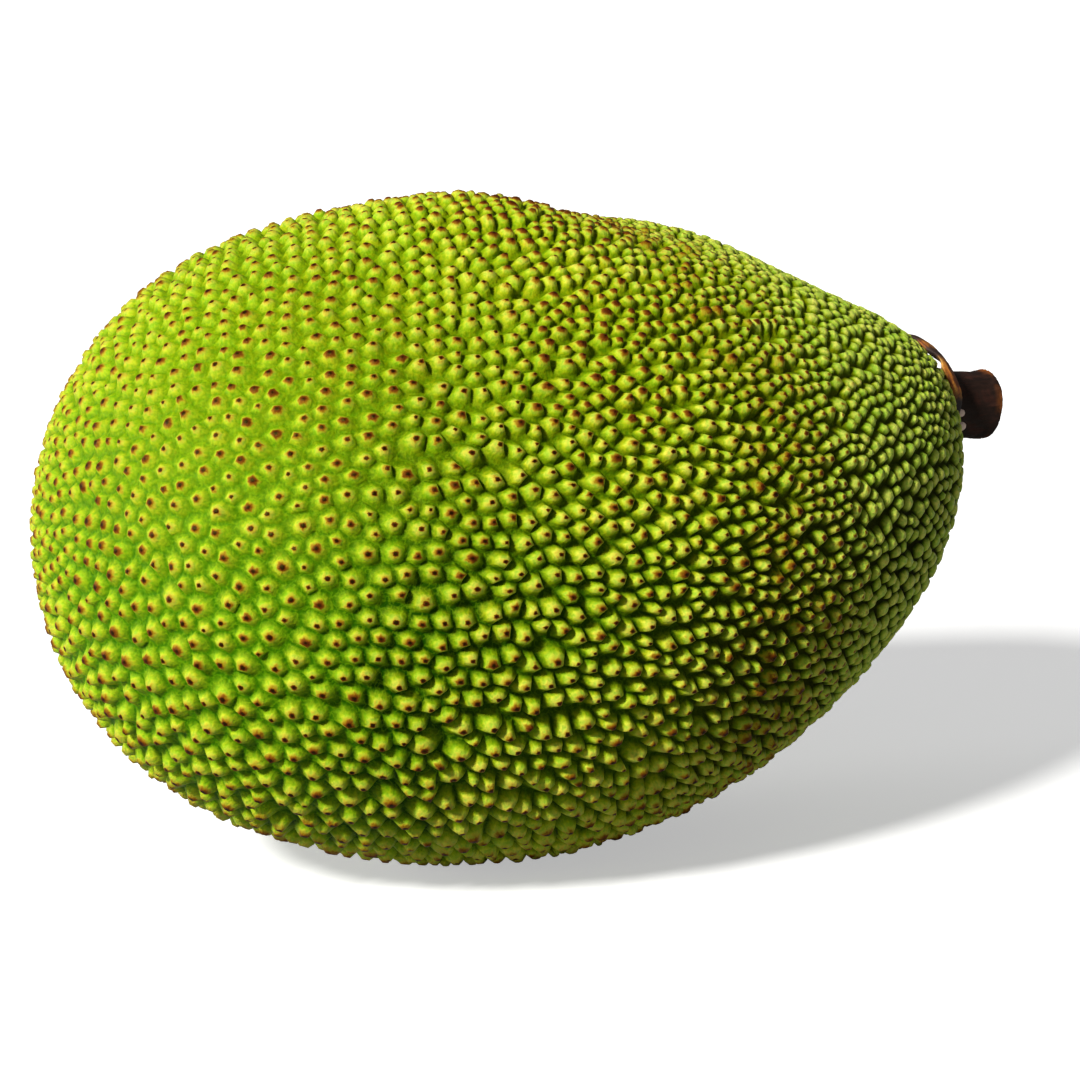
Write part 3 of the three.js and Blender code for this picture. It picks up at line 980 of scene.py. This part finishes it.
def shoulder_height(x, y):
    """How far the skin lies along the stem's axis at a place beside the stem."""
    d = Vector((1, 0, 0))
    scale = 1 / (GIRTH_RADIUS * profile_at(1))
    for _ in range(SHOULDER_ROUNDS):
        point = to_stem @ skin_at(d)
        d.y += (x - point.x) * scale
        d.z += (y - point.y) * scale
        d.x = math.sqrt(max(0.0, 1 - d.y * d.y - d.z * d.z))
    return point.z


print("the skin falls away 20 mm beside the stem by", -shoulder_height(20 * MM, 0))

# %% [markdown]
# ## The band
# The band starts as one round section spun about the stem. Each vertex is then set down on the skin,
# lifted where the arch is, and frayed along the fibres by noise. A short nick in the arch's lower edge
# leaves a hole under it.

# %% A band of dry fibre
COLLAR_RADIUS = 20.5 * MM  # middle of the band, round the stem's foot
COLLAR_THICK = 3 * MM  # from its inner to its outer side
COLLAR_TALL = 5.2 * MM
COLLAR_SINK = 2.2 * MM  # how deep its foot is set into the rind
COLLAR_WANDER = 0.5 * MM  # how far the band strays in and out round the stem
COLLAR_RAGGED = (0.1, 0.08)  # how much its height varies in three and in seven waves
ARCH_LIFT = 1.7 * MM  # how far the arch's middle stands off the rind
ARCH_REACH = 10.4 * MM  # how much further out the arch runs than the band
ARCH_THICK = 5.6 * MM
ARCH_TALL = 6.4 * MM
NICK = 0.38  # the share of the arch's height that has split away from below, in one short stretch
NICK_AT = math.radians(133)
NICK_HALF_ANGLE = math.radians(8)
COLLAR_STEPS = 160
COLLAR_SIDES = 20
SPIN_RADIUS = 10  # the section is spun at this many times its own radius, before it is sized
FRAY = 0.7 * MM  # how far the fibres stand out
# how strongly, middle and half length round the stem, of the stretches that have dried orange
DRY_STRETCHES = (
    (1.0, math.radians(149), math.radians(19)),
    (0.7, math.radians(118), math.radians(6)),
)


def collar_ring():
    """The plain ring: a unit circle spun round the stem's axis."""
    bm = bmesh.new()
    section = bmesh.ops.create_circle(bm, segments=COLLAR_SIDES, radius=1)["verts"]
    upright = Matrix.Rotation(math.radians(90), 3, "X")
    bmesh.ops.rotate(bm, verts=section, matrix=upright)
    bmesh.ops.translate(bm, verts=section, vec=(SPIN_RADIUS, 0, 0))
    bmesh.ops.spin(
        bm, geom=bm.verts[:] + bm.edges[:], axis=(0, 0, 1), angle=math.tau,
        steps=COLLAR_STEPS, use_merge=True,
    )
    return bm


def shape_band(bm):
    """Sets the ring down on the skin, lifts its arch and frays it."""
    fibre = bm.verts.layers.float.new("fibre")
    dry = bm.verts.layers.float.new("dry")
    for vert in bm.verts:
        angle = math.atan2(vert.co.y, vert.co.x)
        out, tall = math.hypot(vert.co.x, vert.co.y) - SPIN_RADIUS, vert.co.z
        arch = arch_at(angle)
        ragged = 1 + COLLAR_RAGGED[0] * math.sin(3 * angle + 1)
        ragged += COLLAR_RAGGED[1] * math.sin(7 * angle)
        grain = Vector((4 * math.cos(angle), 4 * math.sin(angle), 5 * tall + 3 * out))
        strand = noise.fractal(grain, 1, 2, 4)
        radius = COLLAR_RADIUS + ARCH_REACH * arch + COLLAR_WANDER * math.sin(4 * angle)
        radius += out * mixed(COLLAR_THICK, ARCH_THICK, arch) / 2 + FRAY * 0.5 * strand
        x, y = radius * math.cos(angle), radius * math.sin(angle)
        middle = shoulder_height(x, y) - COLLAR_SINK + COLLAR_TALL / 2 + ARCH_LIFT * arch
        height = mixed(COLLAR_TALL, ARCH_TALL, arch) * ragged
        nick = NICK * window(angle, NICK_AT, NICK_HALF_ANGLE)
        z = middle + (tall * (1 - nick) + nick) * height / 2 - FRAY * abs(strand)
        vert.co = (x, y, z)
        vert[fibre] = 0.5 + 0.5 * strand
        vert[dry] = sum(share * window(angle, *stretch) for share, *stretch in DRY_STRETCHES)


band = collar_ring()
shape_band(band)
print("the band has", len(band.faces), "faces")

# %% [markdown]
# ## Beads of latex
# The stalk bled white latex when it was cut. Three drops of it have dried on the band, so each is a
# small ball, pressed a little flat and roughened.

# %% The collar
# degrees round the stem, distance from its middle and size of the dried beads of latex
LATEX_BEADS = ((183, 20 * MM, 2.4 * MM), (201, 20.5 * MM, 3.0 * MM), (206, 18.5 * MM, 1.8 * MM))
BEAD_SHAPE = (0.6, 0.8, 1)  # out from the stem, round it and along it
BEAD_RELIEF = 0.3 * MM


def add_latex(bm):
    """Sets the dried beads on the band."""
    latex = bm.verts.layers.float.new("latex")
    for degrees, radius, size in LATEX_BEADS:
        angle = math.radians(degrees)
        x, y = radius * math.cos(angle), radius * math.sin(angle)
        spot = Vector((x, y, shoulder_height(x, y) - COLLAR_SINK + COLLAR_TALL))
        flat = Matrix.Diagonal((*(size * share for share in BEAD_SHAPE), 1))
        turned = Matrix.Translation(spot) @ Matrix.Rotation(angle, 4, "Z") @ flat
        bead = bmesh.ops.create_icosphere(bm, subdivisions=2, radius=1, matrix=turned)["verts"]
        for vert in bead:
            vert.co += vert.co.normalized() * BEAD_RELIEF * noise.noise(vert.co * 900)
            vert[latex] = 1.0


add_latex(band)
bmesh.ops.transform(band, matrix=stem_frame, verts=band.verts[:])
collar = piece_from(band, "collar_band")
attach(collar, "root")
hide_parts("collar")

# %% [markdown]
# ## Dry fibre
# The band has dried nearly black, and two stretches of its arch are still orange, streaked along the
# fibres. The latex has dried pale.

# %% Collar finish
def collar_finish():
    finish, tree, shader, place = new_finish("dried_bract")
    fibre = attribute(tree, "fibre")
    blotch = noise_at(tree, place, 70, 4)
    fine = noise_at(tree, place, 600, 5)
    orange = ramp(
        tree,
        fibre,
        [(0.25, shade(110, 56, 16)), (0.5, shade(190, 112, 34)), (0.75, shade(222, 160, 66))],
    )
    black = ramp(tree, blotch, [(0.35, shade(20, 22, 26)), (0.6, shade(58, 34, 20))])
    streaked = ramp(tree, fine, [(0.3, 0.6), (0.6, 1.3)])
    dry = maths(tree, "MULTIPLY", attribute(tree, "dry"), streaked)
    surface = mix_colour(tree, dry, black, orange)
    surface = mix_colour(tree, attribute(tree, "latex"), surface, shade(250, 222, 206))
    tree.links.new(surface, shader.inputs["Base Color"])
    shader.inputs["Roughness"].default_value = 0.7
    add_relief(tree, shader, fine, 0.6, 0.5 * MM)
    return finish


collar.data.materials.append(collar_finish())
print("collar finish:", len(collar.data.materials[0].node_tree.nodes), "nodes")

# %% [markdown]
# ## Where it is seen from
# The camera stands a metre and a half away, at the height of someone sitting at the table, and looks
# at the fruit's flank with the blossom end nearer. The three directions below, as the camera sees
# them, place the lamps as well.

# %% The view
CAMERA_AZIMUTH = math.radians(-30)
CAMERA_HEIGHT = math.radians(12)

right = Vector((math.cos(CAMERA_AZIMUTH), math.sin(CAMERA_AZIMUTH), 0))
back = Vector(
    (
        math.sin(CAMERA_AZIMUTH) * math.cos(CAMERA_HEIGHT),
        -math.cos(CAMERA_AZIMUTH) * math.cos(CAMERA_HEIGHT),
        math.sin(CAMERA_HEIGHT),
    )
)
up = back.cross(right)
print("towards the camera:", back)

# %% [markdown]
# ## The floor
# The floor is plain and pale. It looks white but throws back little light, so that the fruit's
# underside stays dark, and it glows a little, so that the shadow is pale.

# %% A pale floor
FLOOR_GLOW = 0.45  # for the camera alone
FLOOR_SIZE = 12  # half its side, in metres
FLOOR_DROP = 0.1 * MM


def pale_floor():
    bm = bmesh.new()
    bmesh.ops.create_grid(bm, x_segments=1, y_segments=1, size=FLOOR_SIZE)
    bmesh.ops.translate(bm, verts=bm.verts[:], vec=(0, 0, -FLOOR_DROP))
    mesh = bpy.data.meshes.new("floor")
    bm.to_mesh(mesh)
    bm.free()
    floor = bpy.data.objects.new("floor", mesh)
    bpy.context.scene.collection.objects.link(floor)
    finish, tree, shader, place = new_finish("pale_paper")
    grain = noise_at(tree, place, 60, 2)
    paper = ramp(tree, grain, [(0, shade(236, 237, 240)), (1, shade(244, 245, 248))])
    seen = add_node(tree, "ShaderNodeLightPath").outputs["Is Camera Ray"]
    paper = mix_colour(tree, seen, shade(145, 145, 145), paper)  # throws back little light
    tree.links.new(paper, shader.inputs["Base Color"])
    glow = maths(tree, "MULTIPLY", seen, FLOOR_GLOW)
    tree.links.new(glow, shader.inputs["Emission Strength"])
    shader.inputs["Emission Color"].default_value = (1, 1, 1, 1)
    shader.inputs["Roughness"].default_value = 0.9
    mesh.materials.append(finish)
    return floor


floor = pale_floor()
print("the floor lies", FLOOR_DROP, "m under the fruit")

# %% [markdown]
# ## The lamps
# A soft key light from the upper left and front shows the tubercles one by one. A weaker and much
# softer side light from the left brightens the blossom end.

# %% Two lamps
LAMP_COLOUR = (1, 0.98, 0.92)


def far_light(name, towards, strength, softness):
    """A light from far off in that direction. softness is how wide it looks, in degrees."""
    data = bpy.data.lights.new(name, "SUN")
    data.energy = strength
    data.angle = math.radians(softness)
    data.color = LAMP_COLOUR
    light = bpy.data.objects.new(name, data)
    light.rotation_euler = (-towards).to_track_quat("-Z", "Y").to_euler()
    bpy.context.scene.collection.objects.link(light)
    return light


far_light("key", -0.48 * right + 0.39 * up + 0.785 * back, strength=4.8, softness=9)
far_light("side", -1.0 * right + 0.1 * up + 0.05 * back, strength=1.8, softness=30)
print("two lamps are lit")

# %% [markdown]
# ## The sky and the camera
# The sky looks white too but is a weak light, so that the two lamps model the tubercles. The lens is
# long for its sensor, as the whole fruit fills the frame from a metre and a half away.

# %% Sky and camera
SKY_STRENGTH = 0.12  # as a light; to the eye it is 1
CAMERA_DISTANCE = 1.5
FRAME_WIDTH = 1080  # in pixels
FOCAL_PIXELS = 3463.5  # the focal length, in the same pixels
AIM_OFFSET = (6.6 * MM, -20.3 * MM)  # to the right and up, from the fruit's middle


def studio_world():
    """White to the eye, but a weak light, so that the key light models the tubercles."""
    world = bpy.data.worlds.new("studio")
    world.use_nodes = True
    tree = world.node_tree
    seen = add_node(tree, "ShaderNodeLightPath").outputs["Is Camera Ray"]
    strength = add_node(tree, "ShaderNodeMapRange", {"Value": seen, "To Min": SKY_STRENGTH})
    background = tree.nodes["Background"]
    background.inputs["Color"].default_value = (1, 1, 1, 1)
    tree.links.new(strength.outputs["Result"], background.inputs["Strength"])
    bpy.context.scene.world = world


def place_camera():
    data = bpy.data.cameras.new("camera")
    data.sensor_width = 36
    data.lens = FOCAL_PIXELS / FRAME_WIDTH * data.sensor_width
    camera = bpy.data.objects.new("camera", data)
    aim = FRUIT_AT + right * AIM_OFFSET[0] + up * AIM_OFFSET[1]
    turn = Matrix((right, up, back)).transposed().to_4x4()
    camera.matrix_world = Matrix.Translation(aim + back * CAMERA_DISTANCE) @ turn
    bpy.context.scene.collection.objects.link(camera)
    bpy.context.scene.camera = camera
    return camera


studio_world()
bpy.context.scene.view_settings.view_transform = "Standard"
camera = place_camera()
print("the camera's lens, in millimetres:", camera.data.lens)
